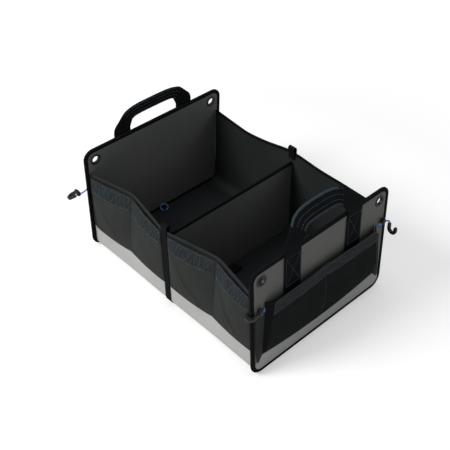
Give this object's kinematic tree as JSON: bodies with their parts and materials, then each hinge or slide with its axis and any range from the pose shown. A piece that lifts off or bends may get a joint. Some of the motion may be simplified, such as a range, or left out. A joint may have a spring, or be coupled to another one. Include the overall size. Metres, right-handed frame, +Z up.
{
  "type": "collapsible car boot storage box",
  "caption": "Collapsible storage box for a car boot with two open compartments, folding cloth sides with pockets, webbing handles and elastic cords with hooks.",
  "frame": {"origin": "bottom centre of the box, its free cords left out", "axes": "+X towards the front end panel with the inward leaning handle, +Y towards the far long side, +Z up"},
  "size_m": [0.6728, 0.4819, 0.3708],
  "materials": {
    "black_cloth": "matt",
    "lining_cloth": "matt",
    "silver_cloth": "satin",
    "binding_tape": "matt",
    "board": "matt",
    "covered_board": "matt",
    "webbing": "matt",
    "elastic_cord": "matt",
    "moulded_plastic": "satin"
  },
  "bodies": {
    "box": {"front_panel_board": "board", "front_panel_cover": "black_cloth", "front_panel_lining": "lining_cloth", "front_panel_binding": "binding_tape", "front_handle": "webbing", "front_base_strip": "silver_cloth", "front_pockets": "black_cloth", "front_near_eyelet": "moulded_plastic", "front_far_eyelet": "moulded_plastic", "rear_panel_board": "board", "rear_panel_cover": "black_cloth", "rear_panel_lining": "lining_cloth", "rear_panel_binding": "binding_tape", "rear_handle": "webbing", "rear_base_strip": "silver_cloth", "rear_pockets": "black_cloth", "rear_near_eyelet": "moulded_plastic", "rear_far_eyelet": "moulded_plastic", "base_cloth": "silver_cloth", "near_wall": "lining_cloth", "near_wall_binding": "binding_tape", "near_rear_pockets": "black_cloth", "near_front_pockets": "black_cloth", "near_middle_strap": "webbing", "far_wall": "lining_cloth", "far_wall_binding": "binding_tape", "far_rear_pockets": "black_cloth", "far_front_pockets": "black_cloth", "far_middle_strap": "webbing", "divider_panel": "lining_cloth", "divider_binding": "binding_tape", "front_near_cord": "elastic_cord", "front_near_cord_lock": "moulded_plastic", "front_near_hook": "moulded_plastic", "front_far_cord": "elastic_cord", "front_far_cord_lock": "moulded_plastic", "front_far_hook": "moulded_plastic", "rear_near_cord": "elastic_cord", "rear_near_cord_lock": "moulded_plastic", "rear_near_hook": "moulded_plastic", "rear_far_cord": "elastic_cord", "rear_far_cord_lock": "moulded_plastic", "rear_far_hook": "moulded_plastic"},
    "rear_floor": {"rear_floor_board": "covered_board", "rear_pull_loop": "elastic_cord"},
    "front_floor": {"front_floor_board": "covered_board", "front_pull_tab": "webbing"},
    "front_near_plunger": {"front_near_lock_plunger": "moulded_plastic"},
    "front_far_plunger": {"front_far_lock_plunger": "moulded_plastic"},
    "rear_near_plunger": {"rear_near_lock_plunger": "moulded_plastic"},
    "rear_far_plunger": {"rear_far_lock_plunger": "moulded_plastic"}
  },
  "joints": [
    {"name": "rear_floor_fold", "type": "hinge", "parent": "box", "child": "rear_floor", "pos_m": [-0.0034, 0, 0.0042], "axis": [0, 1, 0], "range_deg": [0, 88]},
    {"name": "front_floor_fold", "type": "hinge", "parent": "box", "child": "front_floor", "pos_m": [0.2889, 0, 0.0042], "axis": [0, 1, 0], "range_deg": [0, 84]},
    {"name": "front_near_lock_press", "type": "slide", "parent": "box", "child": "front_near_plunger", "axis": [0, 0.0712, -0.9975], "range_m": [0, 0.002], "stiffness_N_per_m": 300},
    {"name": "front_far_lock_press", "type": "slide", "parent": "box", "child": "front_far_plunger", "axis": [0, -0.0956, -0.9954], "range_m": [0, 0.002], "stiffness_N_per_m": 300},
    {"name": "rear_near_lock_press", "type": "slide", "parent": "box", "child": "rear_near_plunger", "axis": [0.3948, 0.34, -0.8536], "range_m": [0, 0.002], "stiffness_N_per_m": 300},
    {"name": "rear_far_lock_press", "type": "slide", "parent": "box", "child": "rear_far_plunger", "axis": [0, -0.0956, -0.9954], "range_m": [0, 0.002], "stiffness_N_per_m": 300}
  ]
}
